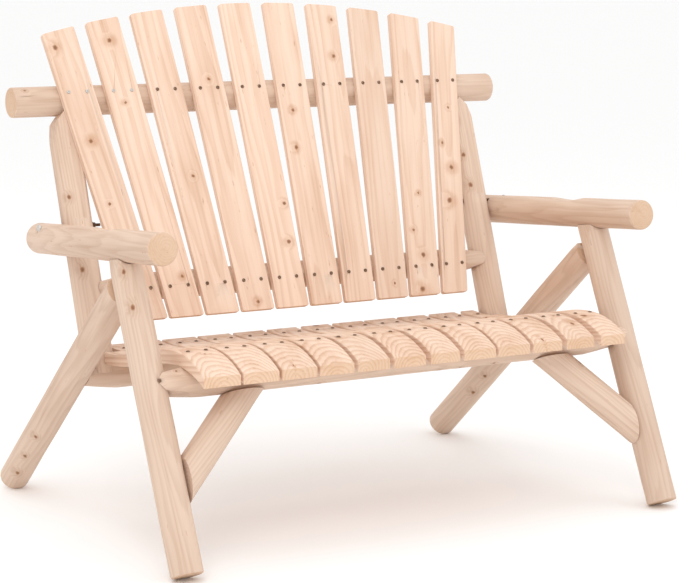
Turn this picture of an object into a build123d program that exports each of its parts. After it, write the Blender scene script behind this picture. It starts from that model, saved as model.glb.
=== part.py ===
from build123d import *
import os
from math import asin, atan2, cos, degrees, radians, sin, sqrt, tan

os.makedirs("parts", exist_ok=True)

# A rustic garden bench of peeled poles: two side frames joined by rails, a
# fanned back of flat slats and a scooped seat of front-to-back boards.
# X runs along the bench, -Y is the front, +Z is up.  Millimetres and degrees.

# ---------------------------------------------------------------- side frames
pole_d = 65.0               # the heavy peeled poles
leg_span = 1114.0           # centre to centre of the two side frames
foot_spread = 891.7         # front leg axis to back leg axis, at the ground
front_lean = 24.85          # front leg from upright, its head towards the back
back_leg_slope = 39.9       # back leg above level, rising towards the front
arm_z = 599.0               # height where arm and front leg axes cross
arm_fall = 4.17             # the arms fall towards the back
arm_front = 185.0           # arm length ahead of that crossing
arm_past_post = 50.0        # arm length behind the bolt in the post
scoop_length = 118.0        # shallow hollow on top of each arm
scoop_depth = 7.0
scoop_behind_leg = 74.0     # its middle, behind the crossing
end_round = 4.0             # easing round a sawn pole end
foot_wear = 3.0             # how much of a foot's low edge is worn level

# ---------------------------------------------------------------- cross rails
front_rail_z = 345.0        # on the front legs' axes
rear_rail_z = 297.0         # on the back legs' axes
rear_rail_d = 60.0
lower_rail_z = 464.4        # on the posts' axes
lower_rail_d = 60.0
top_rail_z = 849.0
top_rail_past_posts = 102.8  # from a post's axis to the rail's end
top_rail_behind = 12.0      # its axis, behind the posts' axes

# ---------------------------------------------------------------- back posts
post_lean = 19.36
post_ahead = 3.0            # post axis, ahead of the rear rail's axis
post_top_z = 837.0
side_flat = 0.6             # flat planed on post and arm where they are bolted
planed_from = 150.0         # front of a post is planed this far above the lower rail
planed_entry = 25.0         # slope at which the planed face starts

# ---------------------------------------------------------------- knee braces
brace_foot = 190.5          # along the leg, where the brace axis meets it
brace_angle = 45.0

# ---------------------------------------------------------------- pole end bevels
leg_head_bevel = (50.0, 9.0)        # run and depth, on a front leg's two sides
back_leg_bevel = (75.0, 13.0)       # on a back leg's upper side
front_rail_bevel = (78.0, 12.5)     # above and below
rear_rail_bevel = (75.0, 13.0)
lower_rail_bevel = (70.0, 13.0)
post_head_bevel = (62.0, 12.0)      # on a post's two sides
post_foot_bevel = (36.0, 9.0)

# ---------------------------------------------------------------- joints
tenon_d = 28.0
tenon_length = 36.0
tenon_fit = 0.25            # clearance round a tenon or dowel
cope_fit = 0.1              # clearance of a coped end on its pole
dowel_d = 12.0
dowel_length = 56.0

# ---------------------------------------------------------------- back slats
slat_count = 10
slat_thickness = 12.5
slat_gap = 8.0
slat_margin = 43.0          # post to first slat, along the lower rail
slat_fan = 2.05             # degrees between neighbouring slats
slat_drop = 79.0            # below the lower rail's centre
slat_peak = 611.0           # height of the back's arched top above it
slat_arch_r = 2100.0
slat_corner = 5.0
slat_edge = 1.5
last_slat_trim = 11.5       # ripped off the outer edge of the right-hand slat

# ---------------------------------------------------------------- seat boards
board_count = 12
board_gap = 5.0
board_trims = [0, 1, 1, 2, 6, 5, 9, 2, 0, 6, 9, 17]   # natural boards, some narrower
seat_past_posts = 2.0       # outer boards reach this far past the post axes
board_front = 27.0          # thickness over the front rail
board_rear = 23.0           # thickness over the rear rail
board_bite = 1.5            # rails sit this far into hollows under the boards
nose_reach = 107.0          # ahead of the front rail's axis
nose_drop = 26.0
nose_height = 21.0
tail_reach = 47.0           # behind the rear rail's axis
seat_sag = 5.0              # underside below the straight line, mid way
board_edge = 2.5
notch_clearance = 3.0       # outer boards round the posts

# ---------------------------------------------------------------- fasteners
screw_head_d = 7.6
screw_head_h = 2.4
screw_d = 4.2
screw_length = 44.0
drive_size = 3.4
drive_depth = 1.2
screw_fit = 0.1
screw_sink = 0.6            # heads pulled this far into the wood
head_room = 0.15            # round a sunk head
slat_screws_apart = 42.0
board_screws_apart = 38.0
upper_screw_rise = 6.0      # above the top rail's centre line
lower_screw_drop = 12.0     # below the lower rail's centre line
lock_inset = 7.0            # tenon screw, in from the leg's axis
bolt_d = 6.4
bolt_rise = 23.0            # above the arm's axis
bolt_head_d = 17.0
bolt_head_h = 4.0
bolt_seat = 12.0            # bolt head seat, in from the arm's outer side
bolt_stud = 18.0            # beyond the post's inner side
washer_d = 16.0
washer_t = 1.6
nut_flats = 11.0
nut_h = 6.0
spot_depth = 1.5            # washer seat cut into the post
spot_room = 1.0

# ---------------------------------------------------------------- worked out
pole_r = pole_d / 2
rear_rail_r = rear_rail_d / 2
lower_rail_r = lower_rail_d / 2
leg_x = leg_span / 2
post_x = leg_x - pole_d + 2 * side_flat
post_inner_x = post_x - pole_r
notch_x = post_inner_x - notch_clearance
waste = 800.0               # size of a block that stands for sawn-off waste

leg_up = Vector(0, sin(radians(front_lean)), cos(radians(front_lean)))
leg_front = Vector(0, -leg_up.Z, leg_up.Y)
back_up = Vector(0, -cos(radians(back_leg_slope)), sin(radians(back_leg_slope)))
post_up = Vector(0, sin(radians(post_lean)), cos(radians(post_lean)))
post_rear = Vector(0, post_up.Z, -post_up.Y)
arm_run = Vector(0, cos(radians(arm_fall)), -sin(radians(arm_fall)))
arm_up = Vector(0, -arm_run.Z, arm_run.Y)
along_x = Vector(1, 0, 0)
down = Vector(0, 0, -1)


def on_front_leg(z, x=0.0):
    return Vector(x, z * leg_up.Y / leg_up.Z, z)


def on_back_leg(z, x=0.0):
    return Vector(x, foot_spread + z * back_up.Y / back_up.Z, z)


def on_post(z, x=0.0):
    base_y = on_back_leg(rear_rail_z).Y - post_ahead
    return Vector(x, base_y + (z - rear_rail_z) * post_up.Y / post_up.Z, z)


def on_arm(distance, x=0.0):
    return on_front_leg(arm_z, x) + arm_run * distance


front_rail_at = on_front_leg(front_rail_z)
rear_rail_at = on_back_leg(rear_rail_z)
lower_rail_at = on_post(lower_rail_z)
top_rail_at = on_post(top_rail_z + top_rail_behind * post_up.Y) + post_rear * top_rail_behind

# The slats' rear faces lie on the line that touches both back rails in front.
rail_step = top_rail_at - lower_rail_at
slat_lean = degrees(atan2(rail_step.Y, rail_step.Z) - asin((pole_r - lower_rail_r) / rail_step.length))
slat_up = Vector(0, sin(radians(slat_lean)), cos(radians(slat_lean)))
slat_front = Vector(0, -slat_up.Z, slat_up.Y)
slat_foot = lower_rail_at + slat_front * lower_rail_r
top_rail_up = rail_step.dot(slat_up)
slat_pitch = (2 * (post_inner_x - slat_margin) + slat_gap) / slat_count
slat_width = slat_pitch - slat_gap
slat_plane = Plane(origin=slat_foot, x_dir=along_x, z_dir=slat_front)

seat_half = post_x + seat_past_posts
board_pitch = (2 * seat_half + board_gap) / board_count
front_rest = front_rail_at.Z + pole_r - board_bite
rear_rest = rear_rail_at.Z + rear_rail_r - board_bite


# ---------------------------------------------------------------- shared shapes
def rod(start, end, diameter):
    run = end - start
    return Solid.make_cylinder(diameter / 2, run.length, Plane(origin=start, z_dir=run))


def eased(log, size=end_round):
    return log.fillet(size, log.edges().filter_by(GeomType.CIRCLE))


def beyond(origin, normal):
    """The waste on the far side of a saw cut."""
    block = Box(waste, waste, waste, align=(Align.CENTER, Align.CENTER, Align.MIN))
    return Plane(origin=origin, z_dir=normal) * block


def bevel(log, axis_end, along, outward, radius, size):
    """Saw a flat that starts on the pole's side and deepens to the end of its run."""
    run, depth = size
    start = axis_end - along * run + outward * radius
    return log - beyond(start, outward * run + along * depth)


def mortise(at, direction, length=tenon_length):
    return rod(at - direction * pole_r, at + direction * (length + 1), tenon_d + 2 * tenon_fit)


def screw_shape():
    """One pan-head screw: head above the origin, shank down -Z."""
    head = Cylinder(screw_head_d / 2, screw_head_h, align=(Align.CENTER, Align.CENTER, Align.MIN))
    head = fillet(head.edges().group_by(Axis.Z)[-1], screw_head_h * 0.6)
    for turn in (0, 90):
        slot = Rot(0, 0, turn) * Box(drive_size, 1.0, 2 * drive_depth)
        head -= Pos(0, 0, screw_head_h) * slot
    shank = Cylinder(screw_d / 2, screw_length, align=(Align.CENTER, Align.CENTER, Align.MAX))
    return head + shank


def screw_places(points, outward):
    return [Plane(origin=point - outward * screw_sink, x_dir=along_x, z_dir=outward) for point in points]


def screw_hole(place):
    """Clearance for the shank, and a shallow seat that the head is pulled into."""
    shank = Cylinder(screw_d / 2 + screw_fit, screw_length + 1, align=(Align.CENTER, Align.CENTER, Align.MAX))
    head = Cylinder(screw_head_d / 2 + head_room, screw_head_d, align=(Align.CENTER, Align.CENTER, Align.MIN))
    return place * (shank + head)


# ---------------------------------------------------------------- screw places
def slat_centre_x(index):
    return (index - (slat_count - 1) / 2) * slat_pitch


def slat_angle(index):
    return (index - (slat_count - 1) / 2) * slat_fan


def slat_point(index, across, rise):
    """A point on a slat's front face, rise measured above the lower rail's centre."""
    middle = slat_centre_x(index) + (rise + slat_drop) * tan(radians(slat_angle(index)))
    if index == slat_count - 1:
        middle -= last_slat_trim / 2
    return slat_foot + along_x * (middle + across) + slat_up * rise + slat_front * slat_thickness


def slat_screw_places(rise):
    half = slat_screws_apart / 2
    points = [slat_point(index, across, rise) for index in range(slat_count) for across in (-half, half)]
    return screw_places(points, slat_front)


def board_edges(index):
    left = index * board_pitch - seat_half + board_trims[index] / 2
    return left, left + board_pitch - board_gap - board_trims[index]


def board_screw_places(index, rail_at, top_z):
    """A pair of screws down through one board into a rail."""
    half = board_screws_apart / 2
    middle = sum(board_edges(index)) / 2
    points = [Vector(middle + across, rail_at.Y, top_z) for across in (-half, half)]
    return screw_places(points, Vector(0, 0, 1))


def front_board_screws(index):
    return board_screw_places(index, front_rail_at, front_rest + board_front)


def rear_board_screws(index):
    """The notched outer boards have room for only one screw over the rear rail."""
    top_z = rear_rest + board_rear
    left, right = board_edges(index)
    if index == 0:
        middle = (right - notch_x) / 2
    elif index == board_count - 1:
        middle = (left + notch_x) / 2
    else:
        return board_screw_places(index, rear_rail_at, top_z)
    return screw_places([Vector(middle, rear_rail_at.Y, top_z)], Vector(0, 0, 1))


def every_board(screws):
    return [place for index in range(board_count) for place in screws(index)]


upper_slat_screws = slat_screw_places(top_rail_up + upper_screw_rise)
lower_slat_screws = slat_screw_places(-lower_screw_drop)


def lock_screw_places():
    """One screw through the left front leg holds the front rail's tenon."""
    left_tenon = front_rail_at - along_x * (leg_x - lock_inset)
    return screw_places([left_tenon + leg_front * pole_r], leg_front)


def without_holes(piece, places):
    for place in places:
        piece = piece - screw_hole(place)
    return piece


# ---------------------------------------------------------------- bolts
def bolt_at(side):
    """Where the bolt crosses the post's axis, above the arm's axis."""
    gap = on_post(arm_z).Y - on_arm(0).Y
    drop = gap * tan(radians(arm_fall))
    return on_post(arm_z - drop + bolt_rise, side * post_x)


def bolt_line(side, inner_x, outer_x, diameter):
    centre = bolt_at(side)
    start = Vector(side * inner_x, centre.Y, centre.Z)
    end = Vector(side * outer_x, centre.Y, centre.Z)
    return rod(start, end, diameter)


def arm_back():
    """Length of an arm behind the place where it crosses the front leg."""
    return (bolt_at(1).Y - on_arm(0).Y) / arm_run.Y + arm_past_post


bolt_head_x = leg_x + pole_r - bolt_seat
washer_x = post_inner_x + spot_depth


def arm_bolt(side):
    stud = bolt_line(side, post_inner_x - bolt_stud, bolt_head_x, bolt_d)
    head = bolt_line(side, bolt_head_x, bolt_head_x + bolt_head_h, bolt_head_d)
    rim = head.edges().filter_by(GeomType.CIRCLE).sort_by(Axis.X)[-1 if side > 0 else 0]
    return stud + head.fillet(bolt_head_h * 0.6, [rim])


def arm_washer(side):
    ring = bolt_line(side, washer_x - washer_t, washer_x, washer_d)
    return ring - bolt_line(side, washer_x - 2 * washer_t, leg_x, bolt_d + 2 * screw_fit)


def arm_nut(side):
    centre = bolt_at(side)
    outer_x = washer_x - washer_t
    place = Plane(origin=(side * outer_x, centre.Y, centre.Z), x_dir=(0, 1, 0), z_dir=(-side, 0, 0))
    hexagon = RegularPolygon(nut_flats / 2, 6, major_radius=False)
    nut = place * extrude(hexagon, nut_h)
    return nut - bolt_line(side, post_inner_x - 2 * nut_h, leg_x, bolt_d + 2 * screw_fit)


def bolt_hole(side):
    return bolt_line(side, 0, leg_x + pole_d, bolt_d + 2 * screw_fit)


# ---------------------------------------------------------------- dowels
def brace_ends(side):
    """Where the brace's axis meets the leg's inner side and the rail's underside."""
    rail_reach = front_rail_z / leg_up.Z - pole_r
    rise = rail_reach - brace_foot
    low_x = leg_x - pole_r
    high_x = low_x - rise / tan(radians(brace_angle))
    low = leg_up * brace_foot + along_x * side * low_x
    high = leg_up * rail_reach + along_x * side * high_x
    return low, high


def brace_dowel_rods(side, extra=0.0):
    low, high = brace_ends(side)
    half = dowel_length / 2 + extra
    diameter = dowel_d + 2 * (tenon_fit if extra else 0)
    return [
        rod(low - along_x * half, low + along_x * half, diameter),
        rod(high - leg_up * half, high + leg_up * half, diameter),
    ]


def top_rail_dowel(side, extra=0.0):
    middle = top_rail_at + along_x * side * post_x - post_up * pole_r
    half = dowel_length / 2 + extra
    diameter = dowel_d + 2 * (tenon_fit if extra else 0)
    return rod(middle - post_up * half, middle + post_up * half, diameter)


# ---------------------------------------------------------------- poles
def on_ground(x, axis_at, direction, head):
    """A pole with a square-sawn foot whose low edge is worn level with the ground."""
    foot_z = pole_r * sqrt(1 - direction.Z ** 2) - foot_wear
    foot = axis_at(foot_z, x)
    log = eased(rod(foot, foot + direction * pole_d, pole_d))
    log = log - beyond(foot + direction * end_round * 2, direction)
    log = log + rod(foot + direction * end_round * 2, head, pole_d)
    return log - beyond(axis_at(0, x), down)


def front_leg(side):
    x = side * leg_x
    head = on_front_leg(arm_z, x)
    under_arm = head - leg_up * pole_r
    log = on_ground(x, on_front_leg, leg_up, head)
    for across in (-along_x, along_x):
        log = bevel(log, under_arm, leg_up, across, pole_r, leg_head_bevel)
    log = log - rod(on_arm(-arm_front, x), on_arm(arm_back(), x), pole_d + 2 * cope_fit)
    log = log + rod(head - leg_up * pole_d, head + leg_up * (tenon_length / 3), tenon_d)
    log = log - mortise(on_front_leg(front_rail_z, side * (leg_x - pole_r)), along_x * side)
    crossing = back_leg_head(side)
    log = log - mortise(crossing, back_up)
    for dowel in brace_dowel_rods(side, 1.0):
        log = log - dowel
    return without_holes(log, lock_screw_places())


def back_leg_head(side):
    """Where the back leg's axis meets the plane that touches the front leg's rear."""
    leg_rear = -leg_front
    gap = Vector(0, foot_spread, 0).dot(leg_rear) - pole_r
    return on_back_leg(0, side * leg_x) + back_up * (gap / -back_up.dot(leg_rear))


def back_leg(side):
    x = side * leg_x
    head = back_leg_head(side)
    log = on_ground(x, on_back_leg, back_up, head + back_up * pole_d)
    log = log - beyond(on_front_leg(arm_z, x) - leg_front * pole_r, leg_front)
    upper = Vector(0, back_up.Z, -back_up.Y)
    log = bevel(log, head, back_up, upper, pole_r, back_leg_bevel)
    log = log + rod(head - back_up * pole_d, head + back_up * tenon_length, tenon_d)
    return log - mortise(on_back_leg(rear_rail_z, side * (leg_x - pole_r)), along_x * side)


def arm(side):
    x = side * leg_x
    log = eased(rod(on_arm(-arm_front, x), on_arm(arm_back(), x), pole_d))
    scoop_r = (scoop_length ** 2 / 4 + scoop_depth ** 2) / (2 * scoop_depth)
    scoop_at = on_arm(scoop_behind_leg, x) + arm_up * (pole_r - scoop_depth + scoop_r)
    log = log - rod(scoop_at - along_x * pole_d, scoop_at + along_x * pole_d, 2 * scoop_r)
    head = on_front_leg(arm_z, x)
    log = log - rod(head - leg_up * pole_d, head + leg_up * (tenon_length / 3 + 1), tenon_d + 2 * tenon_fit)
    centre = bolt_at(side)
    flat_at = Vector(side * (leg_x - pole_r + side_flat), centre.Y, on_arm(0).Z)
    log = log - Pos(flat_at) * Box(pole_d, pole_d * 1.6, pole_d * 2, align=flat_align(side))
    log = log - bolt_hole(side)
    return log - bolt_line(side, bolt_head_x, leg_x + pole_d, bolt_head_d + 2 * spot_room)


def flat_align(side):
    return (Align.MAX if side > 0 else Align.MIN, Align.CENTER, Align.CENTER)


def cross_rail(at, diameter, meets, size, lift):
    """A rail between two poles: ends bevelled above and below, coped and tenoned."""
    inner_x = meets - pole_r
    log = rod(at - along_x * meets, at + along_x * meets, diameter)
    for side in (-1, 1):
        for outward in (lift, -lift):
            log = bevel(log, at + along_x * side * inner_x, along_x * side, outward, diameter / 2, size)
    return log


def coped(log, at, x, direction):
    cutter = at + along_x * x
    return log - rod(cutter - direction * pole_d, cutter + direction * pole_d, pole_d + 2 * cope_fit)


def tenoned(log, at, inner_x):
    for side in (-1, 1):
        shoulder = at + along_x * side * inner_x
        log = log + rod(shoulder - along_x * side * pole_r, shoulder + along_x * side * tenon_length, tenon_d)
    return log


def front_seat_rail():
    log = cross_rail(front_rail_at, pole_d, leg_x, front_rail_bevel, leg_up)
    for side in (-1, 1):
        log = coped(log, front_rail_at, side * leg_x, leg_up)
    log = tenoned(log, front_rail_at, leg_x - pole_r)
    for side in (-1, 1):
        log = log - brace_dowel_rods(side, 1.0)[1]
    return without_holes(log, every_board(front_board_screws) + lock_screw_places())


def rear_seat_rail():
    log = cross_rail(rear_rail_at, rear_rail_d, leg_x, rear_rail_bevel, Vector(0, 0, 1))
    for side in (-1, 1):
        log = coped(log, rear_rail_at, side * leg_x, back_up)
    log = tenoned(log, rear_rail_at, leg_x - pole_r)
    for side in (-1, 1):
        foot = on_post(rear_rail_z, side * post_x)
        log = log - rod(foot, foot + post_up * pole_d, tenon_d + 2 * tenon_fit)
    return without_holes(log, every_board(rear_board_screws))


def lower_back_rail():
    log = cross_rail(lower_rail_at, lower_rail_d, post_x, lower_rail_bevel, post_up)
    for side in (-1, 1):
        log = coped(log, lower_rail_at, side * post_x, post_up)
    log = tenoned(log, lower_rail_at, post_inner_x)
    return without_holes(log, lower_slat_screws)


def top_rail():
    half = along_x * (post_x + top_rail_past_posts)
    log = eased(rod(top_rail_at - half, top_rail_at + half, pole_d))
    for side in (-1, 1):
        log = log - top_rail_dowel(side, 1.0)
    return without_holes(log, upper_slat_screws)


def back_post(side):
    x = side * post_x
    foot = on_post(rear_rail_z, x)
    head = on_post(post_top_z, x)
    above_rail = foot + post_up * rear_rail_r
    log = rod(foot, head, pole_d)
    for across in (-along_x, along_x):
        log = bevel(log, head, post_up, across, pole_r, post_head_bevel)
        log = bevel(log, above_rail, -post_up, across, pole_r, post_foot_bevel)
    rail_cut = rod(rear_rail_at - along_x * leg_x, rear_rail_at + along_x * leg_x, rear_rail_d + 2 * cope_fit)
    top_cut = rod(top_rail_at - along_x * leg_span, top_rail_at + along_x * leg_span, pole_d + 2 * cope_fit)
    log = log - rail_cut - top_cut
    log = log - beyond(rear_rail_at, down)
    planed_at = slat_foot + along_x * x + slat_up * planed_from
    slope = radians(slat_lean - planed_entry)
    entry = Vector(0, sin(slope), cos(slope))
    planed = beyond(planed_at, slat_front) & (Plane(origin=planed_at, x_dir=along_x, z_dir=entry) * Box(
        waste, waste, waste, align=(Align.CENTER, Align.CENTER, Align.MIN)))
    log = log - planed
    log = log + rod(foot + post_up * end_round, foot + post_up * pole_d, tenon_d)
    log = log - mortise(on_post(lower_rail_z, side * post_inner_x), along_x * side)
    log = log - top_rail_dowel(side, 1.0)
    flat_at = Vector(side * (post_x + pole_r - side_flat), bolt_at(side).Y, bolt_at(side).Z)
    log = log - Pos(flat_at) * Box(pole_d, pole_d * 2, pole_d * 3, align=flat_align(-side))
    log = log - bolt_hole(side)
    return log - bolt_line(side, 0, washer_x, washer_d + 2 * spot_room)


def knee_brace(side):
    low, high = brace_ends(side)
    along = (high - low).normalized()
    log = rod(low - along * pole_d, high + along * pole_d, pole_d)
    log = log - beyond(low, along_x * side)
    log = log - beyond(high, leg_up)
    for dowel in brace_dowel_rods(side, 1.0):
        log = log - dowel
    return log


# ---------------------------------------------------------------- slats and boards
def back_slat(index):
    """One slat of the fan: square to the lower rail at its foot, arched at its head."""
    angle = slat_angle(index)
    width = slat_width
    shift = 0.0
    if index == slat_count - 1:
        width -= last_slat_trim
        shift = -last_slat_trim / 2
    length = 2 * (slat_peak + slat_drop)
    blank = Pos(slat_centre_x(index), -slat_drop) * Rot(0, 0, -angle) * Pos(shift, 0) * Rectangle(width, length)
    arch = Pos(0, slat_peak - slat_arch_r) * Circle(slat_arch_r)
    above_foot = Pos(0, -slat_drop) * Rectangle(leg_span, 2 * length, align=(Align.CENTER, Align.MIN))
    face = blank & arch & above_foot
    board = extrude(face, slat_thickness)
    board = fillet(board.edges().filter_by(Axis.Z), slat_corner)
    board = fillet(board.edges().group_by(Axis.Z)[-1], slat_edge)
    board = slat_plane * board
    return without_holes(board, slat_places(index, upper_slat_screws) + slat_places(index, lower_slat_screws))


def slat_places(index, places):
    return places[2 * index:2 * index + 2]


def board_profile():
    """Side view of a seat board: it crests over the front rail and dips to the rear."""
    span = rear_rail_at.Y - front_rail_at.Y
    middle_z = (front_rest + rear_rest) / 2 - seat_sag
    under = [
        (front_rail_at.Y - nose_reach, front_rest - nose_drop),
        (front_rail_at.Y, front_rest),
        (front_rail_at.Y + span / 2, middle_z),
        (rear_rail_at.Y, rear_rest),
        (rear_rail_at.Y + tail_reach, rear_rest + 2),
    ]
    thickness = [nose_height, board_front, (board_front + board_rear) / 2, board_rear, board_rear]
    over = [(y, z + t) for (y, z), t in zip(under, thickness)]
    lower = Spline([Vector(0, y, z) for y, z in under])
    upper = Spline([Vector(0, y, z) for y, z in over])
    nose = Line(lower @ 0, upper @ 0)
    tail = Line(lower @ 1, upper @ 1)
    return Face(Wire([nose, upper, tail, lower]))


def seat_board(index):
    left, right = board_edges(index)
    board = Pos(left, 0, 0) * Solid.extrude(board_profile(), along_x * (right - left))
    top_edges = board.faces().sort_by(Axis.Z)[-1].edges()
    board = board.fillet(board_edge, top_edges)
    for rail, diameter in ((front_rail_at, pole_d), (rear_rail_at, rear_rail_d)):
        board = board - rod(rail - along_x * leg_x, rail + along_x * leg_x, diameter)
    if index in (0, board_count - 1):
        side = -1 if index == 0 else 1
        board = board - post_notch(side)
    return without_holes(board, front_board_screws(index) + rear_board_screws(index))


def post_notch(side):
    """Clears the post at the rear outer corner of an outer board."""
    top_z = rear_rest + board_rear
    front_y = on_post(rear_rest).Y - pole_r / post_up.Z - notch_clearance
    corner = Vector(side * notch_x, front_y, top_z)
    across = Align.MIN if side > 0 else Align.MAX
    return Pos(corner) * Box(pole_d * 2, waste, 2 * pole_d, align=(across, Align.MIN, Align.CENTER))


# ---------------------------------------------------------------- the whole bench
def build():
    nodes = {
        "top_rail": [top_rail()],
        "lower_back_rail": [lower_back_rail()],
        "front_seat_rail": [front_seat_rail()],
        "rear_seat_rail": [rear_seat_rail()],
    }
    for side, name in ((-1, "left"), (1, "right")):
        nodes["front_leg_" + name] = [front_leg(side)]
        nodes["back_leg_" + name] = [back_leg(side)]
        nodes["arm_" + name] = [arm(side)]
        nodes["back_post_" + name] = [back_post(side)]
        nodes["knee_brace_" + name] = [knee_brace(side)]
    for index in range(slat_count):
        nodes[f"back_slat_{index + 1:02d}"] = [back_slat(index)]
    for index in range(board_count):
        nodes[f"seat_board_{index + 1:02d}"] = [seat_board(index)]
    screw = screw_shape()
    nodes["back_screws_upper"] = [place * screw for place in upper_slat_screws]
    nodes["back_screws_lower"] = [place * screw for place in lower_slat_screws]
    nodes["seat_screws_front"] = [place * screw for place in every_board(front_board_screws)]
    nodes["seat_screws_rear"] = [place * screw for place in every_board(rear_board_screws)]
    nodes["tenon_screw"] = [place * screw for place in lock_screw_places()]
    nodes["arm_bolts"] = [arm_bolt(side) for side in (-1, 1)]
    nodes["arm_bolt_washers"] = [arm_washer(side) for side in (-1, 1)]
    nodes["arm_bolt_nuts"] = [arm_nut(side) for side in (-1, 1)]
    nodes["brace_dowels"] = [dowel for side in (-1, 1) for dowel in brace_dowel_rods(side)]
    nodes["top_rail_dowels"] = [top_rail_dowel(side) for side in (-1, 1)]
    return nodes


def standing(nodes):
    """Every piece moved so that the origin is under the middle of the bench, on the ground."""
    whole = Compound([solid for pieces in nodes.values() for solid in pieces]).bounding_box()
    offset = Pos(-whole.center().X, -whole.center().Y, -whole.min.Z)
    return {name: [offset * solid for solid in pieces] for name, pieces in nodes.items()}


for name, pieces in standing(build()).items():
    solids = [solid for piece in pieces for solid in piece.solids()]
    export_step(Compound(solids) if len(solids) > 1 else solids[0], f"parts/{name}.step")
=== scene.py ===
from math import cos, radians, sin

import bmesh
import bpy
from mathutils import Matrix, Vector, noise


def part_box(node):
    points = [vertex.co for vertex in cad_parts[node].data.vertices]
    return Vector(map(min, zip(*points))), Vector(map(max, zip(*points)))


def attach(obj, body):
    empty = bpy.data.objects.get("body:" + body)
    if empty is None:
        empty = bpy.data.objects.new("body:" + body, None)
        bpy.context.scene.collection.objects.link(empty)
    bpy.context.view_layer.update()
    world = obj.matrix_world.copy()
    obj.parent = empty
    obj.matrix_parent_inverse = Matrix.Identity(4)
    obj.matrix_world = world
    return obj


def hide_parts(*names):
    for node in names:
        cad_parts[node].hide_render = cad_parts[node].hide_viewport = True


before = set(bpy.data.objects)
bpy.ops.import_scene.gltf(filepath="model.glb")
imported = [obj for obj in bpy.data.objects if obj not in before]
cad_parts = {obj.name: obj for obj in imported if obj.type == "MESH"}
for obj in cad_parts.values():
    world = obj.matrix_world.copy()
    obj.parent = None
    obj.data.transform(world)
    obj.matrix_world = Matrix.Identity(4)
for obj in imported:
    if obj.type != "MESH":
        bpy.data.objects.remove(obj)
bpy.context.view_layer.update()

# A rustic garden bench: peeled poles, a fan of flat back slats and a scooped
# seat of front-to-back boards.  Metres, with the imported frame's own axes.

MM = 0.001

# ------------------------------------------------------------------ finishes
POLE_PALE = (0.690, 0.520, 0.405, 1.0)      # peeled sapwood
POLE_WARM = (0.500, 0.325, 0.225, 1.0)      # warmer streaks in it
BOARD_PALE = (0.800, 0.600, 0.470, 1.0)
BOARD_WARM = (0.590, 0.355, 0.225, 1.0)
KNOT_RIM = (0.430, 0.200, 0.085, 1.0)
KNOT_CORE = (0.190, 0.075, 0.032, 1.0)
END_GRAIN = (0.640, 0.400, 0.225, 1.0)
PLATED_STEEL = (0.300, 0.200, 0.140, 1.0)
BOLT_STEEL = (0.130, 0.085, 0.060, 1.0)
# painted highlight: the pale colour the fasteners on the bench's left take
HIGHLIGHT_STEEL = (0.62, 0.60, 0.57, 1.0)
RUST = (0.150, 0.085, 0.055, 1.0)

# Each noise's cells per metre of wood: across, across and along.
SLOW_WANDER = (9.0, 9.0, 1.3)
RIPPLE = (60.0, 60.0, 4.0)
FIBRES = (620.0, 620.0, 9.0)
STREAKS = (120.0, 120.0, 2.2)
BLUSHES = (14.0, 14.0, 3.4)
BARK_FLECKS = (210.0, 210.0, 34.0)
RAGGED_RIM = 160.0          # noise cells per metre round a knot's rim

# How far each thing takes the wood from its pale to its warm colour.
LATE_WOOD_SHARE = 0.85
STREAK_SHARE = 0.34
BLUSH_SHARE = 0.38
FIBRE_SHARE = 0.30
HALO_SHARE = 0.34

BARE_CELLS = 0.70           # the share of places for a knot that have none
SMALLEST_KNOT = 0.45
KNOT_STRETCH = 0.8          # knots are longer along the wood than across it
HALO_REACH = 3.4            # how far a knot bends the grain, in its own radii
TONE_DRIFT = 0.10           # how much paler or darker one piece is than the next

# Places along the bench, left of which a kind of fastener gets a painted highlight.
SCREW_HIGHLIGHT_LEFT_OF = -0.31
OUTSIDE_LEFT_ARM = -0.55
NOWHERE = -9.0              # beyond the bench's left end


def takes(group, name, kind, default=None):
    made = group.interface.new_socket(name=name, in_out="INPUT", socket_type=kind)
    if default is not None:
        made.default_value = default


def gives(group, name, kind):
    group.interface.new_socket(name=name, in_out="OUTPUT", socket_type=kind)


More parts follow.
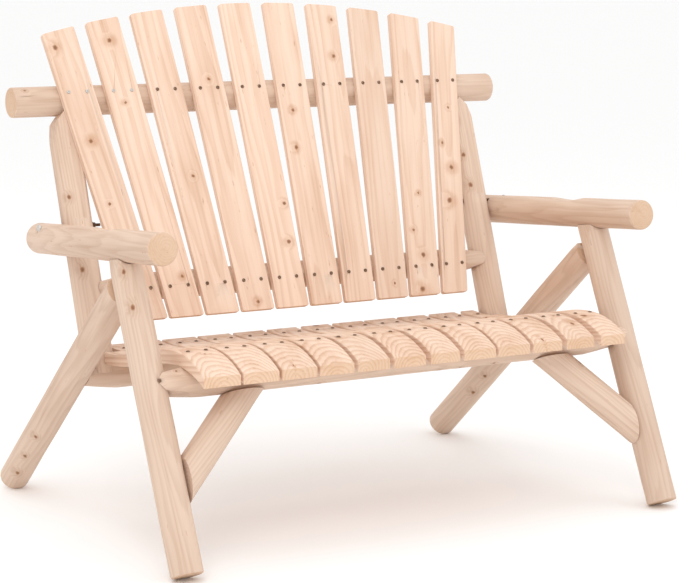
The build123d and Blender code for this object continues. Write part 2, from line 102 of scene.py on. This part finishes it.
class Nodes:
    """Short names for adding and joining nodes in one tree."""

    def __init__(self, tree):
        self.tree = tree

    def add(self, kind, **settings):
        node = self.tree.nodes.new(kind)
        for name, value in settings.items():
            setattr(node, name, value)
        return node

    def put(self, target, value):
        if isinstance(value, bpy.types.NodeSocket):
            self.tree.links.new(value, target)
        else:
            target.default_value = value

    def math(self, operation, *values, clamp=False):
        node = self.add("ShaderNodeMath", operation=operation, use_clamp=clamp)
        for target, value in zip(node.inputs, values):
            self.put(target, value)
        return node.outputs[0]

    def vector(self, operation, *values):
        node = self.add("ShaderNodeVectorMath", operation=operation)
        for target, value in zip(node.inputs, values):
            self.put(target, value)
        is_number = operation in ("LENGTH", "DOT_PRODUCT")
        return node.outputs["Value" if is_number else "Vector"]

    def stretch(self, place, scale):
        return self.vector("MULTIPLY", place, scale)

    def noise(self, place, scale, detail=3.0, rough=0.5):
        node = self.add("ShaderNodeTexNoise")
        self.put(node.inputs["Vector"], place)
        self.put(node.inputs["Scale"], scale)
        self.put(node.inputs["Detail"], detail)
        self.put(node.inputs["Roughness"], rough)
        return node.outputs["Fac"]

    def between(self, value, low, high):
        """Rises from 0 at low to 1 at high, eased at both ends."""
        node = self.add("ShaderNodeMapRange", interpolation_type="SMOOTHSTEP", clamp=True)
        for name, given in (("Value", value), ("From Min", low), ("From Max", high)):
            self.put(node.inputs[name], given)
        return node.outputs["Result"]

    def mix(self, share, first, second):
        node = self.add("ShaderNodeMix", data_type="RGBA")
        self.put(node.inputs["Factor"], share)
        self.put(node.inputs["A"], first)
        self.put(node.inputs["B"], second)
        return node.outputs["Result"]

    def bumped(self, height, strength, distance):
        node = self.add("ShaderNodeBump")
        node.inputs["Strength"].default_value = strength
        node.inputs["Distance"].default_value = distance
        self.put(node.inputs["Height"], height)
        return node.outputs["Normal"]


def timber_group():
    """Growth rings, fibres, knots and end grain, for wood whose length runs along Z."""
    group = bpy.data.node_groups.new("timber", "ShaderNodeTree")
    takes(group, "Place", "NodeSocketVector")
    takes(group, "End grain", "NodeSocketFloat", 0.0)
    takes(group, "Ring spacing", "NodeSocketFloat", 0.006)
    takes(group, "Ring wander", "NodeSocketFloat", 0.006)
    takes(group, "Ring strength", "NodeSocketFloat", 0.5)
    takes(group, "Knot spacing", "NodeSocketFloat", 6.0)
    takes(group, "Knot size", "NodeSocketFloat", 0.07)
    takes(group, "Branch radius", "NodeSocketFloat", 0.0325)
    takes(group, "Pale", "NodeSocketColor", POLE_PALE)
    takes(group, "Warm", "NodeSocketColor", POLE_WARM)
    gives(group, "Colour", "NodeSocketColor")
    gives(group, "Height", "NodeSocketFloat")
    gives(group, "Roughness", "NodeSocketFloat")
    n = Nodes(group)
    given = n.add("NodeGroupInput").outputs
    place = given["Place"]

    # Knots: branches that run out from the heart, scattered along the wood.
    parts = n.add("ShaderNodeSeparateXYZ")
    n.put(parts.inputs["Vector"], place)
    flat = n.stretch(place, (1.0, 1.0, 0.0))
    bearing = n.math("ARCTAN2", parts.outputs["Y"], parts.outputs["X"])
    branches = n.add("ShaderNodeCombineXYZ")
    n.put(branches.inputs["X"], n.math("MULTIPLY", bearing, given["Branch radius"]))
    n.put(branches.inputs["Y"], n.math("MULTIPLY", parts.outputs["Z"], KNOT_STRETCH))
    cells = n.add("ShaderNodeTexVoronoi", feature="F1", voronoi_dimensions="2D")
    n.put(cells.inputs["Vector"], branches.outputs["Vector"])
    n.put(cells.inputs["Scale"], given["Knot spacing"])
    n.put(cells.inputs["Randomness"], 1.0)
    ragged = n.math("SUBTRACT", n.noise(place, RAGGED_RIM), 0.5)
    ragged = n.math("MULTIPLY", ragged, 0.06)
    reach = n.math("ADD", cells.outputs["Distance"], ragged)
    pick = n.add("ShaderNodeSeparateColor")
    n.put(pick.inputs["Color"], cells.outputs["Color"])
    grown = n.math("ADD", SMALLEST_KNOT, pick.outputs["Green"])
    size = n.math("MULTIPLY", given["Knot size"], grown)
    present = n.math("GREATER_THAN", pick.outputs["Red"], BARE_CELLS)
    core = n.math("MULTIPLY", present, n.between(reach, size, n.math("MULTIPLY", size, 0.45)))
    halo_rim = n.math("MULTIPLY", size, HALO_REACH)
    halo = n.math("MULTIPLY", present, n.between(reach, halo_rim, size))

    # Growth rings round the pith, wandering slowly along the wood and round its knots.
    slow = n.noise(n.stretch(place, SLOW_WANDER), 1.0, 2.0)
    ripple = n.noise(n.stretch(place, RIPPLE), 1.0, 2.0)
    along_wood = n.math("MULTIPLY", given["Ring wander"], 9.0)
    round_knots = n.math("MULTIPLY", given["Ring wander"], 0.9)
    wander = n.math("MULTIPLY", n.math("SUBTRACT", slow, 0.5), along_wood)
    ripple = n.math("MULTIPLY", n.math("SUBTRACT", ripple, 0.5), given["Ring wander"])
    wander = n.math("ADD", wander, ripple)
    wander = n.math("ADD", wander, n.math("MULTIPLY", halo, round_knots))
    radius = n.math("ADD", n.vector("LENGTH", flat), wander)
    turn = n.math("FRACT", n.math("DIVIDE", radius, given["Ring spacing"]))
    late = n.math("MULTIPLY", n.between(turn, 0.25, 0.88), n.between(turn, 1.0, 0.90))
    late = n.math("MULTIPLY", late, given["Ring strength"])

    # Fine fibres and broad blushes of colour.
    fibre = n.noise(n.stretch(place, FIBRES), 1.0, 3.0, 0.6)
    streak = n.noise(n.stretch(place, STREAKS), 1.0, 3.0, 0.6)
    blush = n.noise(n.stretch(place, BLUSHES), 1.0, 2.0)
    share = n.math("MULTIPLY", late, LATE_WOOD_SHARE)
    for mask, strength in ((n.between(streak, 0.46, 0.78), STREAK_SHARE),
                           (n.between(blush, 0.46, 0.74), BLUSH_SHARE),
                           (n.math("SUBTRACT", fibre, 0.5), FIBRE_SHARE)):
        share = n.math("ADD", share, n.math("MULTIPLY", mask, strength))
    share = n.math("ADD", share, n.math("MULTIPLY", halo, HALO_SHARE), clamp=True)
    colour = n.mix(share, given["Pale"], given["Warm"])
    knot_colour = n.mix(n.between(reach, 0.0, size), KNOT_CORE, KNOT_RIM)
    colour = n.mix(n.math("MULTIPLY", core, 0.92), colour, knot_colour)
    dull = n.math("MULTIPLY", given["End grain"], 0.42)
    colour = n.mix(dull, colour, END_GRAIN)

    # Small dark flecks of bark left in the grain.
    fleck = n.noise(n.stretch(place, BARK_FLECKS), 1.0, 2.0)
    fleck = n.math("MULTIPLY", n.between(fleck, 0.70, 0.78), 0.55)
    colour = n.mix(fleck, colour, KNOT_RIM)

    height = n.math("MULTIPLY", fibre, 0.55)
    height = n.math("ADD", height, n.math("MULTIPLY", late, 0.35))
    height = n.math("SUBTRACT", height, n.math("MULTIPLY", core, 0.5))
    height = n.math("SUBTRACT", height, n.math("MULTIPLY", fleck, 0.5))
    rough = n.math("ADD", 0.60, n.math("MULTIPLY", fibre, 0.16))
    rough = n.math("ADD", rough, n.math("MULTIPLY", given["End grain"], 0.16))
    out = n.add("NodeGroupOutput").inputs
    n.put(out["Colour"], colour)
    n.put(out["Height"], height)
    n.put(out["Roughness"], rough)
    return group


TIMBER = timber_group()


def timber_material(name, heart, turned, pale, warm, rings, knots):
    """Wood that runs along the turned Z axis, its heart at the given place.

    rings: spacing, wander and strength.  knots: spacing, size and branch radius.
    """
    made = bpy.data.materials.new(name)
    made.use_nodes = True
    n = Nodes(made.node_tree)
    shader = made.node_tree.nodes["Principled BSDF"]
    where = n.add("ShaderNodeTexCoord")
    settle = n.add("ShaderNodeMapping", vector_type="TEXTURE")
    n.put(settle.inputs["Vector"], where.outputs["Object"])
    settle.inputs["Location"].default_value = heart
    settle.inputs["Rotation"].default_value = turned
    along = Vector((0, 0, 1))
    along.rotate(turned)
    facing = n.math("ABSOLUTE", n.vector("DOT_PRODUCT", where.outputs["Normal"], tuple(along)))
    timber = n.add("ShaderNodeGroup", node_tree=TIMBER)
    n.put(timber.inputs["Place"], settle.outputs["Vector"])
    n.put(timber.inputs["End grain"], n.between(facing, 0.72, 0.93))
    names = ("Ring spacing", "Ring wander", "Ring strength",
             "Knot spacing", "Knot size", "Branch radius", "Pale", "Warm")
    for socket, value in zip(names, (*rings, *knots, pale, warm)):
        timber.inputs[socket].default_value = value
    n.put(shader.inputs["Base Color"], timber.outputs["Colour"])
    n.put(shader.inputs["Roughness"], timber.outputs["Roughness"])
    n.put(shader.inputs["Normal"], n.bumped(timber.outputs["Height"], 0.35, 0.6 * MM))
    return made


def steel_wear_group():
    """Plated steel gone dull and rusty in patches, with a painted highlight left of a place along
    the bench.
    """
    group = bpy.data.node_groups.new("steel_wear_and_highlight", "ShaderNodeTree")
    takes(group, "Place", "NodeSocketVector")
    takes(group, "Dull", "NodeSocketColor", PLATED_STEEL)
    takes(group, "Bright", "NodeSocketColor", HIGHLIGHT_STEEL)
    takes(group, "Bright left of", "NodeSocketFloat", NOWHERE)
    gives(group, "Colour", "NodeSocketColor")
    gives(group, "Roughness", "NodeSocketFloat")
    gives(group, "Metallic", "NodeSocketFloat")
    gives(group, "Height", "NodeSocketFloat")
    n = Nodes(group)
    given = n.add("NodeGroupInput").outputs
    patch = n.noise(given["Place"], 260.0, 4.0, 0.6)
    grit = n.noise(given["Place"], 1400.0, 2.0)
    split = n.add("ShaderNodeSeparateXYZ")
    n.put(split.inputs["Vector"], given["Place"])
    # painted highlight: left of the given place the steel takes the pale highlight colour
    painted_highlight = n.math("LESS_THAN", split.outputs["X"], given["Bright left of"])
    worn = n.mix(n.between(patch, 0.42, 0.62), given["Dull"], RUST)
    corroded = n.math("MULTIPLY", n.between(patch, 0.45, 0.7), 0.5)
    out = n.add("NodeGroupOutput").inputs
    n.put(out["Colour"], n.mix(painted_highlight, worn, given["Bright"]))
    n.put(out["Roughness"], n.math("ADD", 0.36, n.math("MULTIPLY", patch, 0.3)))
    n.put(out["Metallic"], n.math("SUBTRACT", 0.95, corroded))
    n.put(out["Height"], grit)
    return group


STEEL_WEAR_AND_HIGHLIGHT = steel_wear_group()


def steel_material(name, dull, bright_left_of):
    """Weathered plated steel, with a painted highlight on fasteners left of the given place along
    the bench.
    """
    made = bpy.data.materials.new(name)
    made.use_nodes = True
    n = Nodes(made.node_tree)
    shader = made.node_tree.nodes["Principled BSDF"]
    where = n.add("ShaderNodeTexCoord")
    wear_and_highlight = n.add("ShaderNodeGroup", node_tree=STEEL_WEAR_AND_HIGHLIGHT)
    n.put(wear_and_highlight.inputs["Place"], where.outputs["Object"])
    wear_and_highlight.inputs["Dull"].default_value = dull
    wear_and_highlight.inputs["Bright"].default_value = HIGHLIGHT_STEEL
    wear_and_highlight.inputs["Bright left of"].default_value = bright_left_of
    n.put(shader.inputs["Base Color"], wear_and_highlight.outputs["Colour"])
    n.put(shader.inputs["Roughness"], wear_and_highlight.outputs["Roughness"])
    n.put(shader.inputs["Metallic"], wear_and_highlight.outputs["Metallic"])
    n.put(shader.inputs["Normal"], n.bumped(wear_and_highlight.outputs["Height"], 0.2, 0.2 * MM))
    return made


# ------------------------------------------------------------------ places
ALONG_X = Vector((1, 0, 0))
SIDES = ("left", "right")


def leaning(degrees):
    """Upright, leaning towards the back by this angle."""
    return Vector((0, sin(radians(degrees)), cos(radians(degrees))))


def middle(node):
    low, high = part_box(node)
    return (Vector(low) + Vector(high)) / 2


def turned_to(direction):
    return Vector((0, 0, 1)).rotation_difference(direction).to_euler()


BACK_LEAN = 20.7            # degrees from upright
SEAT_FALL = 7.5             # degrees, down towards the back

FRONT_LEG = leaning(24.85)
BACK_LEG = leaning(-50.1)
ARM = leaning(94.17)
POST = leaning(19.36)
BACK = leaning(BACK_LEAN)
BEHIND_BACK = leaning(BACK_LEAN + 90)
SEAT = leaning(SEAT_FALL + 90)
BELOW_SEAT = -leaning(SEAT_FALL)


def brace_run(side):
    """From the front leg up and in to the front seat rail."""
    return (ALONG_X * -side + FRONT_LEG).normalized()


# ------------------------------------------------------------------ pieces
CROSS_CUT = 0.03            # spacing of the loops that let a pole undulate
HAND_PEELED = 1.3 * MM      # how far a peeled pole's surface dips
SAWN = 0.35 * MM            # how far a sawn board's does
WAVES_ACROSS = 24           # dips per metre
WAVES_ALONG = 9
ON_THE_PLANE = 1e-6
SHARP_EDGE = radians(28)
HEAD_CUTS = ((25, 40, 15), (17, 7, 42))     # half width, drop below the top, tilt: mm, mm, degrees
POLE_HEART = Vector((0.004, -0.003, 0.002))     # off the pole's own middle
POLE_STAGGER = 0.13         # each pole shows another length of the same tree
BOARD_STAGGER = 0.21
POLE_RINGS = (0.0056, 0.0075, 0.34)
POLE_KNOTS = (14.0, 0.065, 0.0325)
BOARD_KNOTS = (12.5, 0.068, 0.055)


def copied(node):
    """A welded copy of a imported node, its flat triangles joined again into faces."""
    shape = bmesh.new()
    shape.from_mesh(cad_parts[node].data)
    bmesh.ops.remove_doubles(shape, verts=shape.verts, dist=0.002 * MM)
    bmesh.ops.dissolve_limit(shape, angle_limit=radians(0.4), verts=shape.verts, edges=shape.edges)
    return shape


def parted(shape, place, direction, **settings):
    """Cuts every face that the plane crosses."""
    every = shape.verts[:] + shape.edges[:] + shape.faces[:]
    return bmesh.ops.bisect_plane(shape, geom=every, plane_co=place, plane_no=direction,
                                  dist=ON_THE_PLANE, **settings)


def looped(shape, centre, direction, spacing):
    """Cross loops along the wood, so that its surface can undulate."""
    reach = [(vert.co - centre).dot(direction) for vert in shape.verts]
    place = min(reach) + spacing
    while place < max(reach) - spacing / 2:
        parted(shape, centre + direction * place, direction)
        place += spacing


def undulated(shape, centre, direction, depth, seed):
    """Dips the surface by up to the given depth, slowly along the wood."""
    shape.normal_update()
    offset = Vector((seed * 7.3, seed * 3.1, seed * 5.7))
    for vert in shape.verts:
        local = vert.co - centre
        along = direction * local.dot(direction)
        across = (local - along) * WAVES_ACROSS
        height = noise.noise(across + along * WAVES_ALONG + offset)
        vert.co -= vert.normal * depth * (0.5 + 0.5 * height)


def rounded_head(shape, node):
    """Pares the two shoulders of a post's head, so that it ends in a rounded tongue."""
    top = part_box(node)[1][2]
    across = middle(node).x
    for side in (-1, 1):
        for half, drop, tilt in HEAD_CUTS:
            start = Vector((across + side * half * MM, middle(node).y, top - drop * MM))
            outward = Vector((side * cos(radians(tilt)), 0, 0)) + POST * sin(radians(tilt))
            cut = parted(shape, start, outward, clear_outer=True)
            rim = [part for part in cut["geom_cut"] if isinstance(part, bmesh.types.BMEdge)]
            if rim:
                bmesh.ops.holes_fill(shape, edges=rim, sides=0)


def finished(shape, name, node, material):
    mesh = bpy.data.meshes.new(name)
    shape.to_mesh(mesh)
    shape.free()
    mesh.shade_smooth()
    mesh.set_sharp_from_angle(angle=SHARP_EDGE)
    piece = bpy.data.objects.new(name, mesh)
    bpy.context.scene.collection.objects.link(piece)
    mesh.materials.append(material)
    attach(piece, "root")
    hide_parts(node)


def toned(colour, drift):
    return tuple(value * (1.0 + TONE_DRIFT * drift) for value in colour[:3]) + (1.0,)


def peeled_pole(node, direction, seed):
    centre = middle(node)
    shape = copied(node)
    looped(shape, centre, direction, CROSS_CUT)
    undulated(shape, centre, direction, HAND_PEELED, seed)
    if node.startswith("back_post"):
        rounded_head(shape, node)
    drift = noise.noise(Vector((seed * 1.7, 4.0, 2.0)))
    heart = centre + POLE_HEART * (1 + drift) + direction * (POLE_STAGGER * seed)
    material = timber_material("wood_" + node, heart, turned_to(direction), toned(POLE_PALE, drift),
                               POLE_WARM, rings=POLE_RINGS, knots=POLE_KNOTS)
    finished(shape, "peeled_" + node, node, material)


def sawn_board(node, direction, heart_side, seed, rings):
    """A sawn board, its growth rings round a heart that lies outside it."""
    centre = middle(node)
    shape = copied(node)
    undulated(shape, centre, direction, SAWN, seed)
    drift = noise.noise(Vector((seed * 2.3, 1.0, 7.0)))
    sideways = noise.noise(Vector((seed * 3.9, 8.0, 1.0)))
    heart = centre + heart_side * (0.055 + 0.02 * drift) + ALONG_X * (0.05 * sideways)
    heart += direction * (BOARD_STAGGER * seed)
    material = timber_material("wood_" + node, heart, turned_to(direction), toned(BOARD_PALE, drift),
                               BOARD_WARM, rings=rings, knots=BOARD_KNOTS)
    finished(shape, "sawn_" + node, node, material)


# ------------------------------------------------------------------ poles
def poles():
    rails = ("top_rail", "lower_back_rail", "front_seat_rail", "rear_seat_rail")
    runs = {name: ALONG_X for name in rails}
    for side, name in zip((-1, 1), SIDES):
        runs["front_leg_" + name] = FRONT_LEG
        runs["back_leg_" + name] = BACK_LEG
        runs["arm_" + name] = ARM
        runs["back_post_" + name] = POST
        runs["knee_brace_" + name] = brace_run(side)
    for seed, (node, direction) in enumerate(sorted(runs.items())):
        peeled_pole(node, direction, seed + 1)


# ------------------------------------------------------------------ slats and boards
def numbered(start):
    return sorted(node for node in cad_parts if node.startswith(start))


def back_slats():
    slats = numbered("back_slat_")
    fan = radians(2.05)         # between one slat and the next
    for index, node in enumerate(slats):
        tilt = (index - (len(slats) - 1) / 2) * fan
        run = (BACK * cos(tilt) + ALONG_X * sin(tilt)).normalized()
        sawn_board(node, run, BEHIND_BACK, index + 21, rings=(0.0085, 0.0060, 0.36))


def seat_boards():
    for index, node in enumerate(numbered("seat_board_")):
        sawn_board(node, SEAT, BELOW_SEAT, index + 41, rings=(0.0072, 0.0045, 0.60))


# ------------------------------------------------------------------ fasteners
def fasteners():
    screws = steel_material("dark_screw_steel", PLATED_STEEL, NOWHERE)
    # the upper slat screws and the arm bolts carry a painted highlight left of their given places
    slat_screws = steel_material("slat_screw_steel", PLATED_STEEL, SCREW_HIGHLIGHT_LEFT_OF)
    bolts = steel_material("bolt_steel", BOLT_STEEL, OUTSIDE_LEFT_ARM)
    pegs = timber_material("dowel_wood", Vector((0, 0, 0)), turned_to(ALONG_X), POLE_WARM,
                           KNOT_RIM, rings=(0.003, 0.003, 0.3), knots=(3.0, 0.01, 0.006))
    finishes = {
        "back_screws_upper": slat_screws, "back_screws_lower": screws,
        "seat_screws_front": screws, "seat_screws_rear": screws, "tenon_screw": screws,
        "arm_bolts": bolts, "arm_bolt_washers": bolts, "arm_bolt_nuts": bolts,
        "brace_dowels": pegs, "top_rail_dowels": pegs,
    }
    for node, finish in finishes.items():
        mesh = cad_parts[node].data
        mesh.materials.clear()
        mesh.materials.append(finish)


# ------------------------------------------------------------------ studio
FLOOR_SIZE = 120            # large enough for its edge to lie beyond every view
FLOOR_WHITE = (0.97, 0.97, 0.97, 1.0)
DAYLIGHT = (1.0, 0.998, 0.995, 1.0)
LIT_PLACE = (0, 0, 0.5)     # the middle of the seat, where the lights point
LENS = 114.51
EYE = (-2.2655, -3.9259, 1.1307)
EYE_TURN = (radians(81.43), 0.0, radians(-30.17))


def plain(name, colour, roughness):
    made = bpy.data.materials.new(name)
    made.use_nodes = True
    shader = made.node_tree.nodes["Principled BSDF"]
    shader.inputs["Base Color"].default_value = colour
    shader.inputs["Roughness"].default_value = roughness
    return made


def floor():
    shape = bmesh.new()
    bmesh.ops.create_grid(shape, x_segments=1, y_segments=1, size=FLOOR_SIZE)
    mesh = bpy.data.meshes.new("floor")
    shape.to_mesh(mesh)
    shape.free()
    ground = bpy.data.objects.new("floor", mesh)
    bpy.context.scene.collection.objects.link(ground)
    mesh.materials.append(plain("pale_floor", FLOOR_WHITE, 0.9))


def soft_light(name, place, size, power):
    data = bpy.data.lights.new(name, "AREA")
    data.shape = "SQUARE"
    data.size = size
    data.energy = power
    lamp = bpy.data.objects.new(name, data)
    lamp.location = place
    towards = Vector(LIT_PLACE) - Vector(place)
    lamp.rotation_euler = towards.to_track_quat("-Z", "Y").to_euler()
    bpy.context.scene.collection.objects.link(lamp)


def studio():
    floor()
    soft_light("key_light", (-2.6, -3.4, 3.8), size=3.0, power=66)
    soft_light("fill_light", (3.6, -2.6, 2.2), size=3.5, power=16)
    soft_light("top_light", (0, 0.4, 4.2), size=4.0, power=26)
    world = bpy.data.worlds.new("studio")
    world.use_nodes = True
    sky = world.node_tree.nodes["Background"]
    sky.inputs["Color"].default_value = DAYLIGHT
    sky.inputs["Strength"].default_value = 1.0
    bpy.context.scene.world = world
    bpy.context.scene.view_settings.view_transform = "Standard"


def camera():
    data = bpy.data.cameras.new("camera")
    data.sensor_fit = "HORIZONTAL"
    data.sensor_width = 36.0
    data.lens = LENS
    eye = bpy.data.objects.new("camera", data)
    eye.location = EYE
    eye.rotation_euler = EYE_TURN
    bpy.context.scene.collection.objects.link(eye)
    bpy.context.scene.camera = eye


poles()
back_slats()
seat_boards()
fasteners()
studio()
camera()
